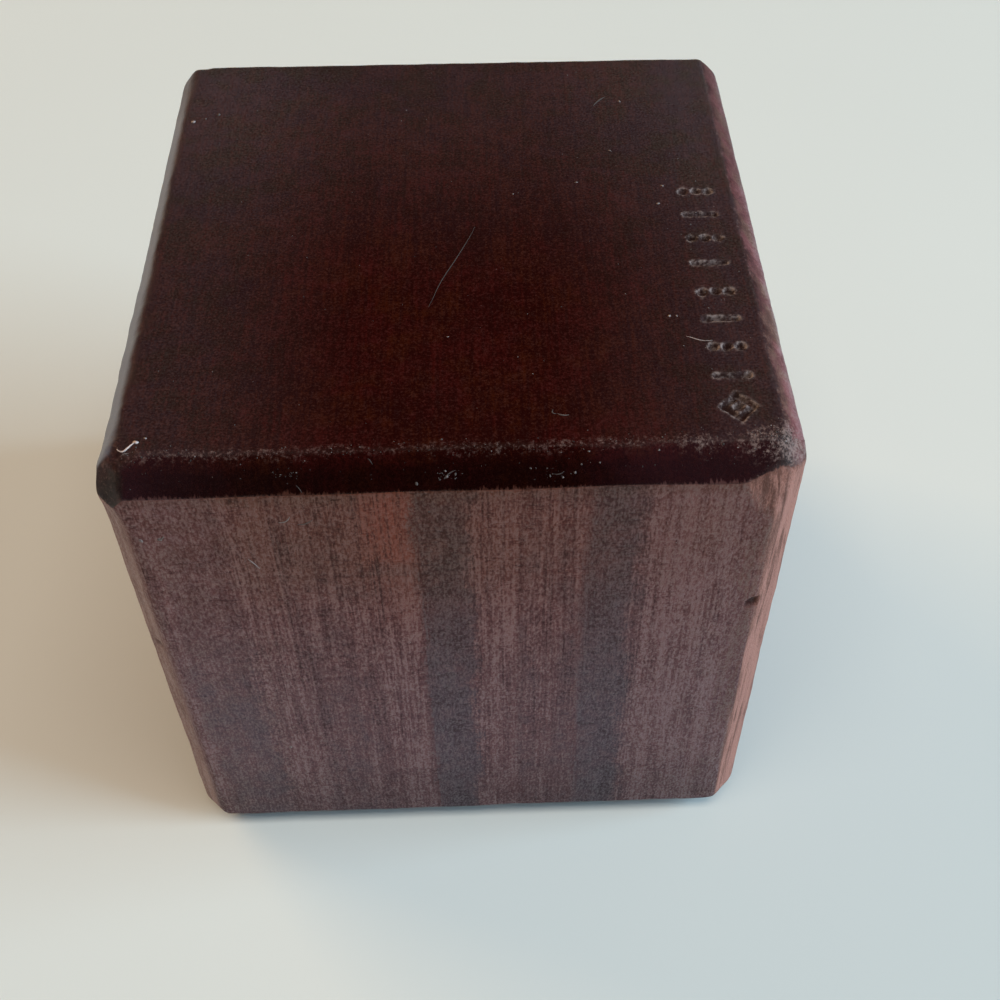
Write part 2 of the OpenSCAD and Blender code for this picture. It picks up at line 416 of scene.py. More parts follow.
def block_lines(m):
    """The three sets of grid lines. They crowd where the bevels begin and where the marks, the pit and the dent are."""
    row_x, first_y, bars, dots = row_places(m)
    reach = m.length / 2 + PAST_MARK

    def across(x):
        return crowd(edge_gaps(x, WIDTH / 2), x, row_x, reach, STROKE_GAP)

    def along(y):
        gaps = crowd(edge_gaps(y, DEPTH / 2), y, first_y, reach, FIRST_GAP)
        for y0 in np.concatenate([bars, dots]):
            gaps = crowd(gaps, y, y0, PAST_STROKE, STROKE_GAP)
            gaps = crowd(gaps, y, y0, m.pitch / 2, BESIDE_GAP)
        return gaps

    def up(z):
        gaps = crowd(edge_gaps(z, HEIGHT / 2), z, m.pit_z - HEIGHT / 2, PAST_PIT, PIT_GAP)
        return crowd(gaps, z, m.dent_z - HEIGHT / 2, PAST_DENT, PIT_GAP)

    return spread_lines(WIDTH / 2, across), spread_lines(DEPTH / 2, along), spread_lines(HEIGHT / 2, up)


def cap_depth(distance, width, depth):
    """Depth below the surface of a ball that cuts a round dent of the given width and depth, eased at its rim."""
    radius = (width * width / 4 + depth * depth) / (2 * depth)
    return np.maximum(np.sqrt(np.maximum(radius**2 - distance**2, 0)) - (radius - depth), 0)


# Small damage in millimetres: the deepest nibble along an arris, how far the strokes stray and how uneven their width
# is, the burr's height, distance and spread round a stroke, and the distance and spread of the dusty rim.
NIBBLE, STRAY, RAGGED_STROKE = 0.09, 0.05, 0.03
BURR, BURR_OUT, BURR_SPREAD, RIM_OUT, RIM_SPREAD = 0.035, 0.16, 0.11, 0.06, 0.12

# The chip at the front right corner of the top: its distances from the right, the front and the top, width and depth.
CHIP_AT, CHIP_WIDTH, CHIP_DEPTH = (0.5, 2.9, 0.9), 2.2, 0.28

# The cloud of pale wear at the same corner: its distances from the three faces, its spread and its strength.
CLOUD_AT, CLOUD_SPREAD, CLOUD = (1.3, 2.2, 0.4), 1.9, 0.34


def from_corner(right, front, top):
    """Point at these distances inwards from the right, the front and the top."""
    return np.array([WIDTH / 2 - right, -DEPTH / 2 + front, HEIGHT / 2 - top])


def nibble(points, outward, share):
    """Sinks the nibbles along the arrises. Returns how close each point is to an arris."""
    arris = smooth(0.02, 0.45, 1 - np.max(np.stack(list(share.values())), 0))
    bite = np.clip(waves(points, 1.1, 200, 14) - 0.55, 0, 1) * np.clip(waves(points, 6, 201) + 0.6, 0, 1)
    points -= outward * (NIBBLE * arris * bite)[:, None]
    return arris


def punch(points, share, m):
    """Sinks the punched row, with a low burr round each stroke. Returns how far the points sank, and the rims."""
    x, y = points[:, 0], points[:, 1]
    wander = np.stack([x, y], -1)
    gap = mark_gap(x + STRAY * waves(wander, 2.5, 210), y + STRAY * waves(wander, 2.2, 211), m)
    gap += RAGGED_STROKE * waves(wander, 0.7, 212)
    on_flat = smooth(0.5, 0.95, share["top"])
    sunk = m.depth * (0.8 + 0.2 * waves(wander, 5, 213)) * smooth(0.1, -0.16, gap) * on_flat
    burr = BURR * np.exp(-(((gap - BURR_OUT) / BURR_SPREAD) ** 2)) * (0.6 + 0.5 * waves(wander, 1.2, 214)) * on_flat
    points[:, 2] += burr - sunk
    return sunk, np.exp(-(((gap - RIM_OUT) / RIM_SPREAD) ** 2)) * on_flat


def cut_dents(points, outward, s, m):
    """Sinks the pit beside the right-hand bevel, the dent in the left-hand one and the chip. Returns the depth of the
    pit and the dent."""
    ragged = 1 + 0.3 * waves(points, 1, 220)

    def ball(at, width, depth, squash=(1, 1, 1)):
        return cap_depth(np.linalg.norm((points - at) * squash, axis=1) * ragged, width, depth)

    pit_at = np.array([WIDTH / 2 - s.front_right - m.pit_w / 4, -DEPTH / 2, m.pit_z - HEIGHT / 2])
    dent_at = np.array([-WIDTH / 2 + s.front_left / 2, -DEPTH / 2 + s.front_left / 2, m.dent_z - HEIGHT / 2])
    dents = ball(pit_at, m.pit_w, m.pit_depth, (1, 1, 0.8)) + ball(dent_at, m.dent_w, m.dent_depth)
    chip = ball(from_corner(*CHIP_AT), CHIP_WIDTH, CHIP_DEPTH, (1, 0.8, 1.5))
    points -= outward * (dents + chip)[:, None]
    return dents


def pale_wear(points, s):
    """Where wear shows pale: along the front of the top, more so to the right, in a cloud round the right-hand corner,
    and along the right-hand edge of the top."""
    x, y, z = points.T
    rightwards = smooth(WIDTH / 2 - 13, WIDTH / 2 - 3, x)
    fore = np.exp(-(((y + DEPTH / 2 - s.top_front) / (0.6 + 0.6 * rightwards)) ** 2))
    fore *= smooth(HEIGHT / 2 - 2.5, HEIGHT / 2 - 1, z) * (0.28 + 0.1 * waves(points, 5, 230) + 0.06 * rightwards)
    away = np.linalg.norm((points - from_corner(*CLOUD_AT)) * (0.75, 1, 1), axis=1)
    side = 0.12 * smooth(WIDTH / 2 - 2.6, WIDTH / 2 - 1.2, x) * smooth(HEIGHT / 2 - 3, HEIGHT / 2 - 1.5, z)
    return np.clip(fore + CLOUD * np.exp(-((away / CLOUD_SPREAD) ** 2)) + side, 0, 1)


def make_block(s, m):
    """The worn body as one closed mesh, with the layers that its material reads."""
    shell, faces = box_shell(*block_lines(m))
    points, share, outward = worn_body(shell / np.linalg.norm(shell, axis=1)[:, None], s)
    arris = nibble(points, outward, share)
    sunk, rim = punch(points, share, m)
    dents = cut_dents(points, outward, s, m)
    worn = pale_wear(points, s)
    points[:, 2] += HEIGHT / 2
    x, _, z = points.T
    beside = 0.36 * smooth(WIDTH / 2 - 5.5, WIDTH / 2 - 2.2, x) * smooth(12, 20, z) * share["front"]
    piece = new_mesh("worn_block", points, faces)
    layers = {
        "worn": worn,
        "upward": outward[:, 2],
        "rubbed": share["front_right"] + 0.9 * share["worn_flat"] + beside,
        "right_top": share["top_right"],
        "left_top": share["top_left"],
        "left_upright": share["front_left"],
        "bevel": sum(part for name, part in share.items() if "_" in name),
        "arris": arris,
        "rim": rim,
        "sunk": np.clip(sunk / m.depth + dents / 0.25, 0, 1),
    }
    for name in LAYERS:
        add_layer(piece, name, layers[name])
    return piece


# ---------------------------------------------------------------- lint and crumbs


def seat(points, lift, s):
    """Moves points near the body onto its surface, along rays from its middle, and then outwards by lift. Returns them
    with the outward normals."""
    middle = np.array([0, 0, HEIGHT / 2])
    directions = np.asarray(points, float) - middle
    directions /= np.linalg.norm(directions, axis=1)[:, None]
    on, _, outward = worn_body(directions, s)
    return on + middle + outward * lift, outward


def bezier(points, steps):
    """Curve that leaves the first point for the last: the sum over i of C(n, i) t^i (1 - t)^(n - i) P_i."""
    n = len(points) - 1
    t, i = np.linspace(0, 1, steps)[:, None], np.arange(n + 1)
    weights = np.array([math.comb(n, k) for k in i]) * t**i * (1 - t) ** (n - i)
    return weights @ np.array(points, float)


def thread(points, radius, s, steps=14, sides=6):
    """Thin tube through a curve on the body: p + r (cos u a + 0.6 sin u b) for u round the tube, where a lies on the
    surface across the curve, b is the outward normal, and r tapers to a third at both ends. A point closes each end."""
    path, up = seat(bezier(points, steps), 0.1 * radius, s)
    along = np.gradient(path, axis=0)
    along /= np.linalg.norm(along, axis=1)[:, None]
    across = np.cross(along, up)
    t, u = np.linspace(0, 1, steps), np.linspace(0, 2 * np.pi, sides, endpoint=False)
    r = radius * (1 / 3 + 2 / 3 * np.sin(np.pi * t))
    turn = np.cos(u)[None, :, None] * across[:, None] + 0.6 * np.sin(u)[None, :, None] * up[:, None]
    rings = path[:, None] + r[:, None, None] * turn
    ends = np.stack([path[0] - 0.5 * radius * along[0], path[-1] + 0.5 * radius * along[-1]])
    ids = np.arange(steps * sides).reshape(steps, sides)
    after = np.roll(ids, -1, 1)
    quads = np.stack([ids[:-1], ids[1:], after[1:], after[:-1]], -1).reshape(-1, 4)
    start = np.stack([np.full(sides, ids.size), ids[0], after[0]], -1)
    end = np.stack([np.full(sides, ids.size + 1), after[-1], ids[-1]], -1)
    return np.concatenate([rings.reshape(-1, 3), ends]), quads, np.concatenate([start, end])


def crumb_shapes(centres, radii, s, seed, sides=6):
    """Flattened crumbs on the body: a ring of points round each centre and one point above and below it."""
    rng = np.random.default_rng(seed)
    on, up = seat(centres, 0.0, s)
    count = len(on)
    across = np.cross(up, rng.normal(size=(count, 3)))
    across /= np.linalg.norm(across, axis=1)[:, None]
    third = np.cross(up, across)
    u = np.linspace(0, 2 * np.pi, sides, endpoint=False)
    wide = radii[:, None] * rng.uniform(0.7, 1.15, (count, sides))
    narrow = wide * rng.uniform(0.45, 1, (count, 1))
    ring = on[:, None] + (wide * np.cos(u))[..., None] * across[:, None]
    ring += (narrow * np.sin(u))[..., None] * third[:, None]
    thick = np.minimum(0.45 * radii, 0.05)
    tips = on[:, None] + thick[:, None, None] * up[:, None] * np.array([1, -1])[None, :, None]
    points = np.concatenate([ring, tips], 1).reshape(-1, 3)
    i = np.arange(sides)
    j = (i + 1) % sides
    upper, lower = np.full(sides, sides), np.full(sides, sides + 1)
    faces = np.concatenate([np.stack([i, j, upper], -1), np.stack([j, i, lower], -1)])
    return points, (faces[None] + (sides + 2) * np.arange(count)[:, None, None]).reshape(-1, 3)


def on_top(*points):
    """Points on the top, from their x and y."""
    return [(x, y, HEIGHT) for x, y in points]


def on_front(*points):
    """Points on the front, from their x and z."""
    return [(x, -DEPTH / 2, z) for x, z in points]


# Threads of lint: how bright each one is, its thickest radius, and the points that its curve follows.
THREADS = (
    (1, 0.08, on_top((-23.35, -23.15), (-22.8, -23.9), (-22.5, -22.75), (-22, -22.5))),
    (0.3, 0.035, on_top((-23.1, -23.75), (-22.8, -23.5), (-22.5, -23.6))),
    (0.05, 0.042, on_top((1.9, 0.2), (1.4, -1.6), (0.5, -2.6), (0.6, -4.6), (-1.3, -5.8), (-1, -7.4), (-1.8, -9.3))),
    (0.6, 0.055, on_top((17.5, -13.3), (18, -13.4), (18.4, -14), (19.4, -13.8))),
    (0.08, 0.09, on_top((12.8, 17), (13.3, 17.9), (13.9, 18.3))),
    (0.18, 0.06, on_top((7.4, -20.9), (7.7, -21.15), (8.2, -21.05))),
    (0.1, 0.05, on_top((7.1, -20.5), (6.9, -20.9), (7.3, -20.9))),
    (0.35, 0.06, on_front((-12.5, 45.5), (-11.9, 45.4), (-11.65, 46.1))),
    (0.14, 0.06, on_front((-11.2, 45.2), (-10.6, 45.1), (-10.1, 45.7))),
    (0.38, 0.055, on_front((-15.25, 41.4), (-14.9, 40.9), (-14.55, 40.2))),
    (0.22, 0.08, on_front((-21.2, 43.9), (-21, 43.95), (-20.8, 44.3))),
    (0.06, 0.03, ((-10.9, -25.4, 48.8), (-10.6, -25.6, 48.6), (-10.5, -25.8, 48.4))),
    (0.08, 0.03, ((-5.9, -24.2, 50), (-5.7, -24.3, 49.9), (-5.6, -24.5, 49.7))),
    (0.07, 0.045, ((-0.7, -25.3, 48.9), (-0.4, -25, 49.2), (0.1, -24.9, 49.3))),
    (0.06, 0.04, ((6.9, -25.2, 49), (7.3, -25.3, 48.9), (7.6, -25.1, 49.1))),
)

# Single crumbs: how bright, radius and place.
CRUMBS = (
    (1, 0.3, (-22, -22.55, HEIGHT)),
    (0.5, 0.16, (-21.4, -22.2, HEIGHT)),
    (0.6, 0.26, (-22.7, 15.8, HEIGHT)),
    (0.2, 0.2, (-21.7, 16.2, HEIGHT)),
    (0.14, 0.26, (-20.6, 16.8, HEIGHT)),
    (0.34, 0.21, (15.2, 17.6, HEIGHT)),
    (0.26, 0.18, (10.5, 5.8, HEIGHT)),
    (0.4, 0.19, (13.7, 10.2, HEIGHT)),
    (0.45, 0.2, (17.7, 5.1, HEIGHT)),
    (0.42, 0.18, (17.1, 2.7, HEIGHT)),
    (0.55, 0.19, (16.5, -11, HEIGHT)),
    (0.4, 0.16, (17.05, -11, HEIGHT)),
    (0.3, 0.24, (-22.45, -DEPTH / 2, 43.9)),
    (0.26, 0.2, (-21.15, -DEPTH / 2, 43.95)),
    (0.3, 0.18, (-15.5, -DEPTH / 2, 14.3)),
    (0.22, 0.18, (-0.5, -25.2, 49)),
    (0.12, 0.15, (0.1, -25.1, 49.1)),
    (0.1, 0.14, (-2.6, -25.5, 48.7)),
    (0.14, 0.12, (5.3, -24.9, 49.3)),
)

# Drifts of fine dust: how many crumbs, how bright at most, the middle of the drift, and how far it spreads each way.
DRIFTS = (
    (150, 0.35, (0, -23.6, 50.4), (24, 0.7, 0.2)),
    (130, 0.5, (22.9, -23.3, 50.2), (1.9, 0.9, 0.4)),
    (24, 0.3, (-0.4, -25.1, 49.1), (0.7, 0.35, 0.35)),
    (16, 0.18, (-11.2, -24.9, 49.3), (0.9, 0.4, 0.4)),
    (18, 0.3, (7, -25.2, 49), (1.2, 0.4, 0.4)),
    (60, 0.25, (0, -24.9, 49.4), (23, 0.6, 0.6)),
    (120, 0.4, (0, 0, 50.5), (22.5, 23.5, 0)),
    (70, 0.4, (0, -26, 25), (22, 0, 22)),
    (60, 0.5, (20.3, -5, 50.5), (1.9, 14, 0)),
)


# The usual radius of a crumb in a drift, the largest one, and the spread beyond which a drift is even.
DUST_RADIUS, LARGEST_CRUMB, EVEN_SPREAD = 0.045, 0.3, 5


def make_lint(s):
    """All the threads as one mesh of separate closed tubes."""
    points, quads, fans, tones, total = [], [], [], [], 0
    for tone, radius, curve in THREADS:
        tube, sides, ends = thread(curve, radius, s)
        points.append(tube)
        quads.append(sides + total)
        fans.append(ends + total)
        tones.append(np.full(len(tube), tone))
        total += len(tube)
    quads, fans = np.concatenate(quads), np.concatenate(fans)
    loops = np.concatenate([quads.ravel(), fans.ravel()])
    piece = new_mesh("lint", np.concatenate(points), loops, [4] * len(quads) + [3] * len(fans))
    add_layer(piece, "tone", np.concatenate(tones))
    return piece


def make_crumbs(s):
    """The single crumbs and the drifts of dust as one mesh of separate closed crumbs."""
    rng = np.random.default_rng(11)
    places, radii, tones = [place for _, _, place in CRUMBS], [r for _, r, _ in CRUMBS], [t for t, _, _ in CRUMBS]
    for count, brightest, middle, spread in DRIFTS:
        wide = np.array(spread) > EVEN_SPREAD
        scatter = np.where(wide, rng.uniform(-1, 1, (count, 3)), 0.6 * rng.normal(size=(count, 3)))
        places.extend(np.array(middle) + scatter * spread)
        radii.extend(rng.lognormal(math.log(DUST_RADIUS), 0.4, count))
        tones.extend(brightest * rng.uniform(0, 1, count) ** 1.5)
    places, radii = np.array(places, float), np.minimum(radii, LARGEST_CRUMB)
    points, faces = crumb_shapes(places, radii, s, 12)
    piece = new_mesh("crumbs", points, faces.ravel(), [3] * len(faces))
    add_layer(piece, "tone", np.repeat(tones, len(points) // len(places)))
    return piece


# ---------------------------------------------------------------- materials


class Nodes:
    """Short calls for building a node tree."""

    def __init__(self, tree):
        self.tree = tree
        tree.nodes.clear()

    def put(self, socket, value):
        """Links an output to a socket, or sets the socket to a plain value."""
        if isinstance(value, bpy.types.NodeSocket):
            self.tree.links.new(value, socket)
        else:
            socket.default_value = value

    def add(self, kind, inputs=(), **settings):
        """Adds a node, sets its settings, and fills its inputs, given as (socket, value or output)."""
        node = self.tree.nodes.new(kind)
        for key, value in settings.items():
            setattr(node, key, value)
        for key, value in inputs:
            self.put(node.inputs[key], value)
        return node

    def math(self, operation, a, b=0, c=0, clamp=False):
        """One step of arithmetic."""
        inputs = [(0, a), (1, b), (2, c)]
        return self.add("ShaderNodeMath", inputs, operation=operation, use_clamp=clamp).outputs[0]

    def fold(self, operation, values):
        """Joins the values two by two, from the left."""
        result = values[0]
        for value in values[1:]:
            result = self.math(operation, result, value)
        return result

    def total(self, *values):
        """The sum of the values."""
        return self.fold("ADD", values)

    def times(self, *values):
        """The product of the values."""
        return self.fold("MULTIPLY", values)

    def most(self, *values):
        """The largest of the values."""
        return self.fold("MAXIMUM", values)

    def line(self, value, slope, start):
        """value times slope, plus start."""
        return self.math("MULTIPLY_ADD", value, slope, start)

    def swing(self, value, reach):
        """A noise about zero, times reach."""
        return self.line(value, reach, -0.5 * reach)

    def away(self, value, centre):
        """Distance of the value from the centre."""
        return self.math("ABSOLUTE", self.math("SUBTRACT", value, centre))

    def ease(self, value, low, high, out_low=0, out_high=1):
        """Eases from out_low to out_high as value goes from low to high."""
        sockets = ("Value", "From Min", "From Max", "To Min", "To Max")
        inputs = zip(sockets, (value, low, high, out_low, out_high))
        return self.add("ShaderNodeMapRange", inputs, interpolation_type="SMOOTHSTEP").outputs[0]

    def noise(self, vector, scale, detail=2, roughness=0.5, distortion=0):
        """A noise of about 0 to 1, with scale cells to the unit."""
        sockets = ("Vector", "Scale", "Detail", "Roughness", "Distortion")
        inputs = zip(sockets, (vector, scale, detail, roughness, distortion))
        return self.add("ShaderNodeTexNoise", inputs).outputs["Fac"]

    def stretch(self, vector, scale, move=(0, 0, 0)):
        """Moves a point, then multiplies it by a scale along each axis."""
        moved = self.add("ShaderNodeVectorMath", [(0, vector), (1, move)], operation="ADD").outputs[0]
        return self.add("ShaderNodeVectorMath", [(0, moved), (1, scale)], operation="MULTIPLY").outputs[0]

    def mix(self, factor, a, b, blend="MIX"):
        """Colour a where the factor is 0 and b where it is 1, or their product with the blend MULTIPLY."""
        node = self.add("ShaderNodeMix", data_type="RGBA", blend_type=blend, clamp_factor=True)
        for key, value in ((0, factor), (6, a), (7, b)):
            plain = isinstance(value, (float, bpy.types.NodeSocket))
            self.put(node.inputs[key], value if plain else (*value[:3], 1))
        return node.outputs[2]

    def blend(self, factor, a, b):
        """Number a where the factor is 0 and b where it is 1."""
        return self.add("ShaderNodeMix", [(0, factor), (2, a), (3, b)], data_type="FLOAT").outputs[0]

    def layer(self, name):
        """A number stored on the mesh."""
        return self.add("ShaderNodeAttribute", attribute_name=name, attribute_type="GEOMETRY").outputs["Fac"]

    def place(self):
        """The point that is shaded, in millimetres, in the piece's own frame."""
        return self.stretch(self.add("ShaderNodeTexCoord").outputs["Object"], (1 / MM, 1 / MM, 1 / MM))

    def surface(self, *inputs):
        """Ends the tree in one shader with these inputs."""
        shader = self.add("ShaderNodeBsdfPrincipled", inputs)
        self.add("ShaderNodeOutputMaterial", [("Surface", shader.outputs[0])])


def new_material(name, calls=Nodes):
    """A material with an empty tree, and the calls that build in it."""
    material = bpy.data.materials.new(name)
    material.use_nodes = True
    return material, calls(material.node_tree)


# Bands of growth across the width: where each one stands, and how light it is. They cover BAND_SPAN in all.
BAND_SPAN = 50
BANDS = (
    (-24.6, 0.6), (-23.4, 0.8), (-22.4, 0.55), (-21.6, 0.3), (-17, 0.26), (-15.4, 0.8),
    (-12.5, 0.58), (-9.5, 0.44), (-6.8, 0.66), (-4.6, 1), (-3.4, 0.85), (-2.7, 0.1),
    (-1, 0.02), (0.7, 0.12), (1.8, 0.95), (3.8, 0.88), (5, 0.45), (6.6, 0.68),
    (8, 0.44), (9.2, 0.46), (10, 0.12), (12.4, 0.04), (12.9, 0.1), (14.8, 0.88),
    (17, 0.85), (18.2, 1), (19.3, 0.7), (20.3, 1), (21.6, 0.65), (22.8, 0.85),
)

# Heights of the level saw cuts on the left half of the front.
SAW_CUTS = (38.9, 29.8, 26.7, 25)

# The noises that the wood is made of: cells to the millimetre along each axis, a shift so that no two agree, the
# detail, and the roughness and distortion where they aren't plain. Most are drawn out along Z, as the fibres run up.
NOISES = {
    "bend": ((0.05, 0.04, 0.035), (0, 0, 0), 2),
    "ripple": ((0.5, 0.3, 0.22), (31, 5, 9), 3),
    "column": ((1.3, 0.4, 0.05), (7, 40, 3), 2),
    "fibre": ((5.5, 1.2, 0.14), (3, 3, 60), 2),
    "thin": ((2.4, 0.4, 0.035), (81, 2, 7), 2),
    "hair": ((6.5, 1, 0.2), (44, 9, 27), 1),
    "dash": ((5.2, 5.2, 2.2), (13, 3, 6), 3, 0.55),
    "speck": ((6, 6, 5), (11, 0, 2), 2, 0.6),
    "crumbs": ((4.6, 4.6, 4.6), (2, 8, 1), 3, 0.75),
    "patch": ((1.6, 1.6, 1.6), (5, 6, 7), 2),
    "mottle": ((0.6, 0.6, 0.45), (0, 17, 29), 3),
    "hue": ((0.35, 0.35, 0.35), (3, 9, 14), 2),
    "area": ((0.3, 0.3, 0.3), (4, 70, 1), 1),
    "cloud": ((0.11, 0.11, 0.09), (6, 1, 2), 2),
    "figure": ((0.3, 0.45, 0.03), (12, 31, 5), 3, 0.5, 0.5),
    "saw": ((0.3, 0.3, 1.5), (50, 8, 0), 2),
    "streak": ((1.9, 1.9, 0.16), (9, 1, 33), 3, 0.5, 0.5),
    "lines": ((3.2, 0.16, 0.9), (5, 5, 5), 3, 0.6),
    "teeth": ((5, 1, 1.1), (17, 4, 2), 2, 0.6),
}


class Wood(Nodes):
    """The calls above, with all that the wood is worked out from at a point: its place in millimetres, what the mesh
    stores there, and the noises."""

    def __init__(self, tree):
        super().__init__(tree)
        mm = self.place()
        self.x, self.y, self.z = self.add("ShaderNodeSeparateXYZ", [(0, mm)]).outputs
        for name in LAYERS:
            setattr(self, name, self.layer(name))
        for name, (scale, move, *kind) in NOISES.items():
            setattr(self, name, self.noise(self.stretch(mm, scale, move), 1, *kind))
        self.crest = self.stray(self.dash, speck=0.8)

    def stray(self, value, **reaches):
        """The value plus the named noises, each of them swung about zero by its reach."""
        return self.total(value, *(self.swing(getattr(self, name), reach) for name, reach in reaches.items()))


def growth_bands(w):
    """How light the layers of growth are: BANDS across the width, and one drawn-out noise on the two sides, which cut
    along a single layer. Returns that and how far a point belongs to the sides."""
    across = w.stray(w.x, bend=1.8, ripple=1.3, mottle=1.2, dash=1.6, fibre=1.2)
    ramp = w.add("ShaderNodeValToRGB", [(0, w.line(across, 1 / BAND_SPAN, 0.5))])
    while len(ramp.color_ramp.elements) < len(BANDS):
        ramp.color_ramp.elements.new(0.5)
    for stop, (at, tone) in zip(ramp.color_ramp.elements, BANDS):
        stop.position = at / BAND_SPAN + 0.5
        stop.color = (tone, tone, tone, 1)
    flank = w.ease(w.away(w.x, 0), 23.9, 24.7)
    return w.blend(flank, ramp.outputs[0], w.ease(w.figure, 0.3, 0.7, 0.2, 0.8)), flank


def saw_marks(w):
    """Thin lines across the fibres: one wherever the saw noise crosses its middle, and the level cuts. Returns them and
    the areas where the saw noise is let through."""
    marked = w.ease(w.area, 0.42, 0.58)
    saw_line = w.times(w.ease(w.away(w.saw, 0.5), 0, 0.03, 1, 0), marked)
    reach = w.stray(w.x, ripple=8)
    cuts = w.times(w.ease(reach, -17, -15), w.ease(reach, 0.5, -1))
    cuts = w.times(cuts, w.ease(w.stray(w.mottle, dash=0.3), 0.38, 0.6, 0.1, 0.7))
    level = w.stray(w.z, ripple=1.6, dash=0.3)
    for height in SAW_CUTS:
        saw_line = w.most(saw_line, w.times(cuts, w.ease(w.away(level, height), 0.05, 0.35, 1, 0)))
    return saw_line, marked


def wood_value(w, tone, flank, saw_line, marked):
    """How light the bare wood is. The crests of its fibres are lighter than its grooves, most of all in the light bands
    and in the upper half."""
    lively = w.ease(tone, 0.1, 0.75, 0.14, 0.95)
    thin = w.times(w.ease(w.stray(w.thin, dash=0.3), 0.54, 0.68, 0, 0.3), w.ease(marked, 0, 1, 0.35, 1))
    hair = w.times(w.ease(w.stray(w.hair, dash=0.25, mottle=0.3), 0.58, 0.74, 0, 0.7), marked)
    grain = w.times(w.stray(w.total(thin, hair), fibre=1.8, column=1.4), lively)
    rough_cut = w.times(w.swing(w.crest, 1), w.line(lively, 0.5, 1))
    calm = w.ease(w.stray(w.z, cloud=10), 10, 32, 0.74, 1.14)
    value = w.stray(w.line(tone, 0.62, 0.21), mottle=0.8)
    value = w.total(value, w.times(w.stray(w.total(grain, rough_cut), patch=0.55), calm))
    sides = w.total(w.ease(w.x, 12.5, 17, 0, 0.22), w.ease(w.x, -15, -22.6, 0.1, 0.34))
    value = w.total(value, w.times(sides, w.ease(flank, 0, 1, 1, 0.1)))
    return w.line(saw_line, -0.4, value)


def orange_patch(w):
    """Where the orange patch of the front is: between two saw marks, with a faint tail below it."""
    px = w.stray(w.x, ripple=2, dash=2, fibre=1.6)
    pz = w.stray(w.z, ripple=1.5, dash=2.2)
    side = w.times(w.ease(px, -8, -5), w.ease(px, -2.5, -3.8), w.ease(w.y, -8, -20))
    body = w.times(w.ease(pz, 39.6, 41.2), w.ease(pz, 49.4, 47.2))
    tail = w.times(w.ease(w.z, 28.5, 36, 0, 0.35), w.ease(w.z, 39, 38.5))
    return w.times(side, w.total(body, tail), w.ease(w.stray(w.dash, fibre=1), 0.25, 0.7, 0.15, 0.85))


def brown_stain(w, foot):
    """Where the wood is stained brown, below the foot of the varnish."""
    stain = w.ease(w.stray(w.z, ripple=3, cloud=6), HEIGHT - 18, HEIGHT - 9, 0, 0.6)
    stain = w.times(stain, w.ease(w.x, -18, -14, 0.3, 1), w.ease(w.x, -4, 10, 1, 0.35))
    return w.total(stain, w.ease(w.stray(w.z, dash=1.5), foot - 1.6, foot, 0, 0.5))


def bare_wood(w, c, foot, saw_line, marked):
    """Colour of the bare wood: streaky bands, smooth dark bands, the stain and the orange patch. It is browner below
    the varnish, greyer lower down under a painted cool light, and darkest just above the underside under painted shade."""
    x, y, z = w.x, w.y, w.z
    tone, flank = growth_bands(w)
    value = wood_value(w, tone, flank, saw_line, marked)
    bare = w.mix(w.ease(value, -0.15, 0.62), c.wood_dark, c.wood_mid)
    bare = w.mix(w.ease(value, 0.5, 1.4), bare, c.wood_light)
    slate = w.ease(w.stray(tone, dash=0.35, mottle=0.8), 0, 0.6, 0.75, 0)
    slate = w.times(slate, w.most(w.ease(x, -14, -12), w.ease(w.stray(z, cloud=12), 37, 22)))
    bare = w.mix(slate, bare, w.mix(w.ease(value, -0.1, 0.6), c.slate_dark, c.slate))
    bare = w.mix(brown_stain(w, foot), bare, w.mix(w.ease(value, -0.1, 1), c.stain, c.stain_light))
    bare = w.mix(orange_patch(w), bare, c.orange)
    middle = w.times(w.ease(x, -20, -14), w.ease(x, 13.5, 8))
    tint = w.mix(middle, (0.95, 0.8, 0.78), (0.93, 0.67, 0.57))
    # Painted light: a cool bluish light, growing down the front and towards the front.
    cool_light_tint = w.mix(w.ease(value, 0.15, 1), (1, 1.38, 1.7), (1, 1.06, 1.18))
    low = w.times(w.ease(z, 47, 17), w.ease(y, -24, -12, 1, 0.3))
    bare = w.mix(1.0, bare, w.mix(low, tint, cool_light_tint), "MULTIPLY")
    # Painted shade, darkest just above the underside.
    return w.mix(1.0, bare, w.ease(z, 2.5, 15, 0.67, 1), "MULTIPLY")


def rubbed_wood(w, c, bare):
    """The wood with its two rubbed upright bevels. The right-hand one has pale streaks, palest along the outer edge,
    with dark grime along the inner edge. The left-hand one has streaks lightened by painted light and painted
    reflection. Returns it and how far the right-hand bevel is rubbed."""
    value = w.stray(0.52, streak=1.4, speck=0.4, mottle=0.25)
    value = w.total(value, w.ease(w.x, 22.4, 24.6, -0.03, 0.13), w.ease(w.z, 8, 40, 0.02, -0.02))
    raw = w.mix(w.ease(value, 0.26, 0.74), c.rubbed_dark, c.rubbed_light)
    mask = w.ease(w.stray(w.rubbed, mottle=0.3, streak=0.5, fibre=0.5), 0.18, 0.85)
    wood = w.mix(mask, bare, raw)
    verge = w.times(w.rubbed, w.math("SUBTRACT", 1, w.rubbed, clamp=True), 4)
    verge = w.times(w.ease(w.stray(verge, streak=1), 0.35, 0.8, 0, 0.55), w.ease(w.stray(w.fibre, dash=0.6), 0.35, 0.6))
    wood = w.mix(w.times(verge, w.ease(w.x, 17, 19)), wood, c.rubbed_dark)
    # Painted light and painted reflection on the streaky bevel at the front left.
    left = w.times(w.ease(w.left_upright, 0.1, 0.6), w.ease(w.stray(w.x, dash=0.7), -23.2, -23.8))
    left_value = w.ease(w.stray(w.streak, speck=0.5, mottle=0.6), 0.25, 0.7)
    return w.mix(left, wood, w.mix(left_value, c.left_upright_painted_light_dark, c.left_upright_painted_light_pale)), mask


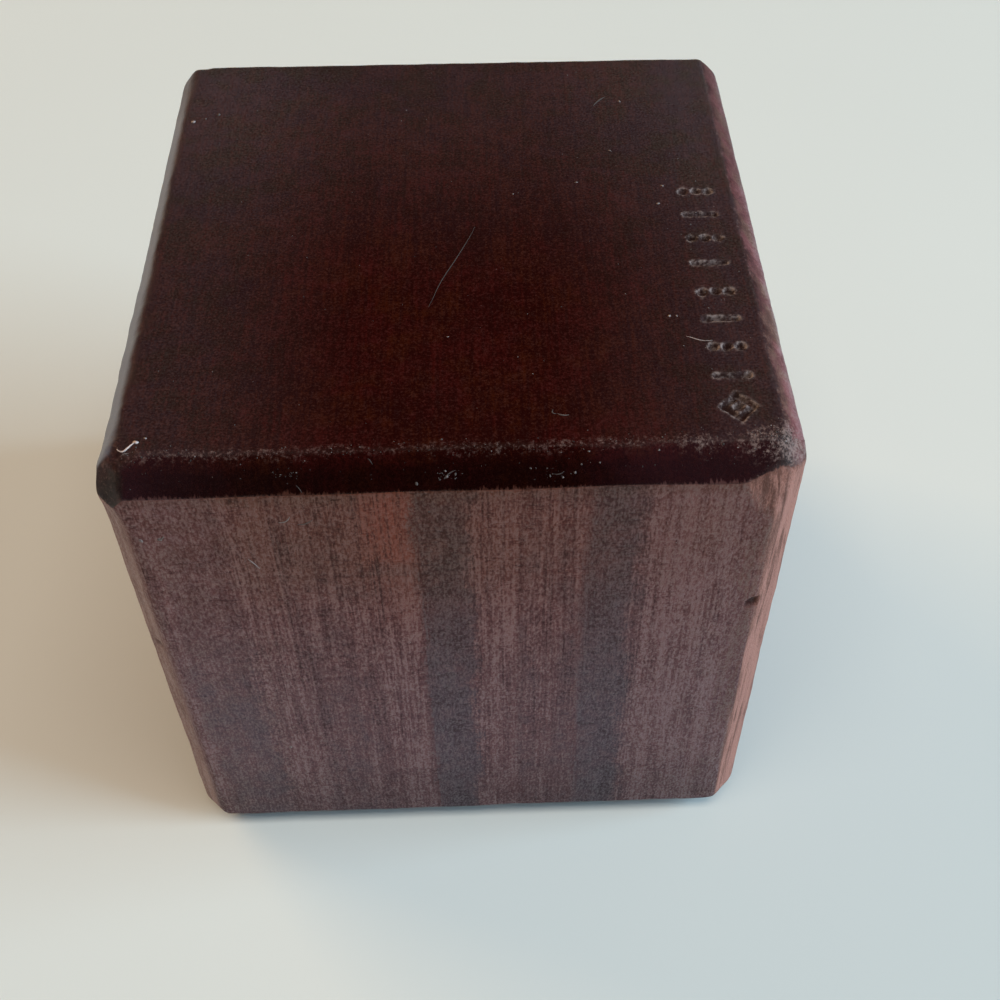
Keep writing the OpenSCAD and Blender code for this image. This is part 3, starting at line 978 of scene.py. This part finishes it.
def varnished(w, c, foot, wood, coat):
    """The wood under its varnish, with painted shade on the front bevel: its varnish darkens towards the bevel's lower
    edge and where the front left bevel meets it. Here and there the fibres show through at the foot of that bevel."""
    depth = w.stray(w.line(w.lines, 0.8, 0.1), crumbs=1.2, speck=0.9, patch=0.4, mottle=0.4, cloud=0.5)
    light = w.mix(w.ease(w.hue, 0.4, 0.6), c.varnish_light, c.varnish_brown)
    varnish = w.mix(w.ease(depth, 0.27, 0.88), c.varnish_dark, light)
    # Painted shade on the front bevel, deepest towards its lower edge and at the front left corner.
    shade = w.ease(w.y, -DEPTH / 2 + 0.9, -DEPTH / 2 + (HEIGHT - foot) + 0.1, 0.3, 1)
    shade = w.times(shade, w.ease(w.left_upright, 0, 0.3, 1, 0.3))
    varnish = w.mix(shade, c.painted_shade_varnish, varnish)
    ragged = w.total(w.z, w.swing(w.teeth, -0.9), w.ease(w.away(w.x, -11.2), 0.6, 2.2, -0.12, 0))
    bared = w.times(w.ease(ragged, foot + 0.18, foot + 0.02, 0, 0.85), coat, w.ease(w.x, -23.4, -22.6))
    return w.mix(bared, w.mix(coat, wood, varnish), w.mix(1.0, wood, (0.58, 0.62, 0.68), "MULTIPLY"))


def rubbed_edges_and_left_sheen(w, c, colour_now, coat):
    """The varnish is rubbed through towards the outer edge of the bevel at the right of the top. Towards the outer edge
    of the bevel at the left of the top lies a painted reflection, a bluish grey sheen.
    """
    across = w.stray(w.x, crumbs=0.9, mottle=1.2, streak=0.5)
    corner = w.times(w.ease(w.y, -22.8, -24.2), w.ease(w.x, 22.4, 23.6))
    through = w.total(w.ease(across, 23.15, 23.75, 0, 0.4), w.ease(across, 23.6, 25, 0, 0.5))
    through = w.times(through, w.ease(w.y, -12, 18, 1, 0.6), w.most(w.ease(w.right_top, 0.1, 0.5), corner))
    through = w.times(through, w.ease(w.stray(w.crumbs, mottle=0.8), 0.34, 0.62, 0.55, 1), coat)
    pink = w.mix(w.ease(w.stray(w.hue, crumbs=0.5), 0.4, 0.6), c.edge_pink, c.edge_peach)
    pink = w.mix(w.ease(w.stray(across, crumbs=1), 24.1, 25, 0, 0.35), pink, c.edge_pale)
    colour_now = w.mix(through, colour_now, pink)
    # Painted reflection on the bevel at the left of the top, stronger towards the front.
    across = w.stray(w.x, crumbs=0.5, mottle=0.5)
    through = w.times(w.ease(across, -23.3, -24.1, 0, 0.68), w.ease(w.left_top, 0.1, 0.5))
    through = w.times(through, w.ease(w.stray(w.y, mottle=6), 23, 15, 0.4, 1), coat)
    return w.mix(through, colour_now, c.left_top_painted_sheen)


def dust_and_painted_sheen(w, c, colour_now, coat):
    """A thin film of dust and painted sheen, thicker towards the sides and the back, where it stands in for a
    reflection, and a haze on both ends of the front bevel.
    """
    # Painted sheen towards the sides and the back, plus specks of dust.
    dust_and_sheen_film = w.total(w.ease(w.away(w.x, 0), 6, 22, 0, 0.034), w.ease(w.y, -10, 25, 0, 0.044))
    dust_and_sheen_film = w.total(dust_and_sheen_film, w.ease(w.x, 17, 21.5, 0, 0.012))
    dust_and_sheen_film = w.times(dust_and_sheen_film, w.ease(w.stray(w.crest, mottle=0.15), 0.2, 0.8, 0.45, 1.55))
    dust_and_sheen_film = w.total(dust_and_sheen_film, w.ease(w.stray(w.crumbs, speck=0.5), 0.44, 0.8, 0, 0.022))
    dust = w.mix(w.ease(w.stray(w.hue, mottle=0.4), 0.36, 0.62), c.dust_and_sheen_green, c.dust)
    colour_now = w.mix(w.times(dust_and_sheen_film, w.ease(w.bevel, 0.3, 1, 1, 0.15)), colour_now, dust)
    haze = w.total(
        w.ease(w.stray(w.x, mottle=6), 7, 15, 0, 0.035),
        w.ease(w.stray(w.x, mottle=9), -14, -21, 0, 0.022),
        w.ease(w.stray(w.x, mottle=3), -20, -23, 0, 0.022),
    )
    return w.mix(w.times(haze, w.bevel, coat), colour_now, c.haze)


def worn_pale(w, c, colour_now):
    """Pale wear in specks, rims round the marks pale with dust and a painted highlight, and painted shade in what is
    sunk. Returns the colour and the wear.
    """
    wear = w.stray(w.total(w.crumbs, w.times(w.worn, 0.34)), mottle=0.2, patch=0.45)
    chip = w.times(w.ease(w.worn, 0.02, 0.5), w.ease(wear, 0.58, 0.86, 0, 0.8))
    nick = w.times(w.ease(w.arris, 0.5, 0.9), w.ease(w.crumbs, 0.55, 0.7, 0, 0.3))
    colour_now = w.mix(w.most(chip, nick), colour_now, c.pale)
    # Dust and a painted highlight on the rims of the marks, dust on their floors, where they face upwards.
    rim_dust_and_highlight = w.times(w.most(w.rim, w.times(w.sunk, 0.6)), w.ease(w.upward, 0, 0.3))
    rim_dust_and_highlight = w.times(rim_dust_and_highlight, w.ease(w.stray(w.patch, crumbs=0.7), 0.42, 0.68, 0.03, 0.6))
    # Painted shade in the marks, the pit and the dent: they darken towards the varnish's dark colour.
    colour_now = w.mix(w.times(w.sunk, 0.6), colour_now, c.varnish_dark)
    return w.mix(rim_dust_and_highlight, colour_now, c.mark_dust_and_highlight), chip


def gloss_of(w, coat, polish, rub_mask, chip):
    """Roughness: the bare wood is matt but for its polished crests, and the varnish has a worn satin gloss that is lost
    in the marks, along the arrises and at the front left corner."""
    matt = w.most(w.line(polish, -0.5, 0.95), w.times(rub_mask, 0.85))
    gloss = w.total(w.swing(w.mottle, 0.06), w.times(polish, -0.06), 0.29)
    gloss = w.total(gloss, w.times(w.most(w.right_top, w.times(w.left_top, 0.4)), 0.55))
    tip = w.times(w.ease(w.stray(w.x, mottle=1.5), -22, -24.2), w.ease(w.y, -22.6, -23.6))
    gloss = w.most(gloss, w.times(tip, 0.62), w.times(w.most(w.sunk, w.rim), 0.85), chip, w.times(w.arris, 0.32))
    return w.blend(coat, matt, gloss)


def wood_material(c, s):
    """Dark red wood. Its growth layers stand across the width and its fibres run upwards, so the streaks run up the
    front. Over it lie the varnish, on all that faces upwards, the rubbed bevels, the chipped arrises, and dust. The
    varnish ends in a ragged line along the lower arris of the front bevel."""
    material, w = new_material("dark wood", Wood)
    foot = HEIGHT - s.top_front
    coat = w.ease(w.stray(w.upward, dash=0.3, ripple=0.1), 0.3, 0.44)
    saw_line, marked = saw_marks(w)
    polish = w.ease(w.total(w.stray(w.crest, fibre=0.4), w.times(saw_line, -0.1)), 0.3, 0.7)
    wood, rub_mask = rubbed_wood(w, c, bare_wood(w, c, foot, saw_line, marked))
    # Painted light in this colour: shade on the front bevel, above the underside and in what is sunk; sheen and
    # reflection on the top, the left bevels and the mark rims; a cool light low on the front.
    colour_now = varnished(w, c, foot, wood, coat)
    colour_now = rubbed_edges_and_left_sheen(w, c, colour_now, coat)
    colour_now = dust_and_painted_sheen(w, c, colour_now, coat)
    colour_now, chip = worn_pale(w, c, colour_now)
    rough = gloss_of(w, coat, polish, rub_mask, chip)
    uncoated = w.math("SUBTRACT", 1, coat)
    height = w.times(w.crest, w.line(uncoated, 0.85, 0.15))
    height = w.total(height, w.times(saw_line, uncoated, -0.3))
    bump = w.add("ShaderNodeBump", [("Height", height), ("Strength", 0.8), ("Distance", 0.07 * MM)]).outputs[0]
    w.surface(("Base Color", colour_now), ("Roughness", rough), ("Normal", bump), ("IOR", 1.5))
    return material


def lint_material(c):
    """Pale threads and crumbs, some of them dim, with a little unevenness."""
    material, n = new_material("lint")
    uneven = n.ease(n.noise(n.place(), 6), 0.3, 0.7, 0.75, 1)
    tone = n.math("MULTIPLY", n.layer("tone"), uneven, clamp=True)
    dim = tuple(0.06 * v for v in c.lint)
    n.surface(("Base Color", n.mix(tone, dim, c.lint)), ("Roughness", 0.85))
    return material


def floor_material(pale):
    """Plain pale floor with a faint unevenness."""
    material, n = new_material("pale floor")
    cloud = n.ease(n.noise(n.place(), 0.014, 3), 0.3, 0.7)
    tone = n.mix(cloud, tuple(0.985 * v for v in pale), pale)
    n.surface(("Base Color", tone), ("Roughness", 0.7))
    return material


# ---------------------------------------------------------------- operators


class WOODBLOCK_OT_block(Operator):
    """Build the worn, bevelled body of the block"""

    bl_idname = "woodblock.block"
    bl_label = "Worn block"

    def execute(self, context):
        scene = context.scene
        piece = make_block(scene.block_sizes, scene.mark_sizes)
        piece.data.materials.append(wood_material(scene.wood_colours, scene.block_sizes))
        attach(piece, "root")
        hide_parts("block")
        return {"FINISHED"}


class WOODBLOCK_OT_lint(Operator):
    """Lay threads of lint on the top and the front"""

    bl_idname = "woodblock.lint"
    bl_label = "Lint"

    def execute(self, context):
        scene = context.scene
        piece = make_lint(scene.block_sizes)
        piece.data.materials.append(lint_material(scene.wood_colours))
        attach(piece, "root")
        return {"FINISHED"}


class WOODBLOCK_OT_crumbs(Operator):
    """Scatter crumbs of dust, most of them along the front of the top"""

    bl_idname = "woodblock.crumbs"
    bl_label = "Crumbs of dust"

    def execute(self, context):
        scene = context.scene
        piece = make_crumbs(scene.block_sizes)
        piece.data.materials.append(lint_material(scene.wood_colours))
        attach(piece, "root")
        return {"FINISHED"}


# Half the floor's width and the gap between its grid lines, in millimetres.
FLOOR_HALF, FLOOR_GAP = 3000, 200

# Lamps: the setting that holds the power, the colour, the azimuth and elevation in degrees, and the distance, width
# and height in metres.
LAMPS = (
    ("window_power", (0.55, 0.82, 1), -8, 22, 1.5, 0.8, 0.95),
    ("overhead_power", (1, 0.93, 0.82), -85, 78, 2.2, 1.9, 0.75),
    ("wall_power", (1, 0.67, 0.34), 142, 22, 1.5, 0.8, 0.8),
)

# Parts of the room that are dim, so that the varnish mirrors little light: the direction, the cosines between which
# the room darkens round it, and what is left of the light there.
DIM_PARTS = (
    ((0, 0.77, 0.64), 0.8, 0.98, 0.05),
    ((0, -0.76, 0.65), 0.78, 0.95, 0.02),
    ((-0.93, -0.2, 0.3), 0.7, 0.95, 0.1),
)
ROOM_COLOUR, BACKDROP = (1, 0.86, 0.7), (0.72, 0.72, 0.69)

# The camera's place in metres, its turns in degrees, its lens in millimetres and its shift.
CAMERA_PLACE, CAMERA_TURNS = (0.00206, -0.08615, 0.11952), (42.227, -0.171, -2.313)
CAMERA_LENS, CAMERA_SHIFT = 48.52, (-0.0225, -0.0575)


def make_floor():
    """Flat square grid at the height of the underside."""
    lines = spread_lines(FLOOR_HALF, lambda x: np.full(x.shape, float(FLOOR_GAP)))
    gx, gy = np.meshgrid(lines, lines, indexing="ij")
    ids = np.arange(gx.size).reshape(gx.shape)
    quads = np.stack([ids[:-1, :-1], ids[1:, :-1], ids[1:, 1:], ids[:-1, 1:]], -1).reshape(-1, 4)
    return new_mesh("floor", np.stack([gx.ravel(), gy.ravel(), 0 * gx.ravel()], -1), quads)


def make_lamp(scene, name, power, tint, azimuth, elevation, away, wide, tall):
    """Rectangular lamp that faces the block and leaves no glint in the varnish."""
    data = bpy.data.lights.new(name, "AREA")
    data.shape, data.size, data.size_y = "RECTANGLE", wide, tall
    data.energy, data.color = power, tint
    lamp = bpy.data.objects.new(name, data)
    scene.collection.objects.link(lamp)
    lamp.visible_glossy = False
    a, e = math.radians(azimuth), math.radians(elevation)
    lamp.location = (away * math.cos(e) * math.cos(a), away * math.cos(e) * math.sin(a), away * math.sin(e))
    lamp.rotation_euler = (math.pi / 2 - e, 0, a + math.pi / 2)


def make_room(scene, strength):
    """World that lights the block dimly, and shows the camera a plain pale backdrop."""
    world = bpy.data.worlds.new("room")
    scene.world = world
    world.use_nodes = True
    n = Nodes(world.node_tree)
    way = n.add("ShaderNodeTexCoord").outputs["Generated"]
    for direction, low, high, left in DIM_PARTS:
        cosine = n.add("ShaderNodeVectorMath", [(0, way), (1, direction)], operation="DOT_PRODUCT").outputs["Value"]
        strength = n.times(n.ease(cosine, low, high, 1, left), strength)
    seen = n.add("ShaderNodeLightPath").outputs["Is Camera Ray"]
    inputs = [("Color", n.mix(seen, ROOM_COLOUR, BACKDROP)), ("Strength", n.most(strength, seen))]
    n.add("ShaderNodeOutputWorld", [("Surface", n.add("ShaderNodeBackground", inputs).outputs[0])])


def set_camera(scene):
    """The one camera, which looks down at the front from a hand's breadth away."""
    data = bpy.data.cameras.new("camera")
    data.lens, data.sensor_width = CAMERA_LENS, 36
    data.shift_x, data.shift_y = CAMERA_SHIFT
    data.clip_start, data.clip_end = 0.005, 20
    scene.camera = bpy.data.objects.new("camera", data)
    scene.collection.objects.link(scene.camera)
    scene.camera.location = CAMERA_PLACE
    scene.camera.rotation_euler = [math.radians(a) for a in CAMERA_TURNS]
    scene.view_settings.view_transform = "Standard"


class WOODBLOCK_OT_stage(Operator):
    """Lay the floor, hang the lamps and set the camera"""

    bl_idname = "woodblock.stage"
    bl_label = "Floor, lamps and camera"

    def execute(self, context):
        scene, settings = context.scene, context.scene.stage_settings
        floor = make_floor()
        floor.data.materials.append(floor_material(settings.floor))
        for power, *lamp in LAMPS:
            make_lamp(scene, power.split("_")[0], getattr(settings, power), *lamp)
        make_room(scene, settings.room)
        set_camera(scene)
        return {"FINISHED"}


class WOODBLOCK_PT_panel(Panel):
    """Lists the steps that build the block"""

    bl_idname = "WOODBLOCK_PT_panel"
    bl_label = "Wooden block"
    bl_space_type = "VIEW_3D"
    bl_region_type = "UI"
    bl_category = "Wooden block"

    def draw(self, context):
        for step in STEPS:
            self.layout.operator(step.bl_idname)


SETTINGS = {
    "block_sizes": BlockSizes,
    "mark_sizes": MarkSizes,
    "wood_colours": WoodColours,
    "stage_settings": StageSettings,
}
STEPS = (WOODBLOCK_OT_block, WOODBLOCK_OT_lint, WOODBLOCK_OT_crumbs, WOODBLOCK_OT_stage)
CLASSES = (*SETTINGS.values(), *STEPS, WOODBLOCK_PT_panel)


def register():
    for item in CLASSES:
        bpy.utils.register_class(item)
    for name, group in SETTINGS.items():
        setattr(bpy.types.Scene, name, PointerProperty(type=group))


def unregister():
    for name in SETTINGS:
        delattr(bpy.types.Scene, name)
    for item in reversed(CLASSES):
        bpy.utils.unregister_class(item)


def main():
    """Registers the add-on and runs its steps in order."""
    register()
    for step in STEPS:
        group, name = step.bl_idname.split(".")
        getattr(getattr(bpy.ops, group), name)()


if __name__ == "__main__":
    main()
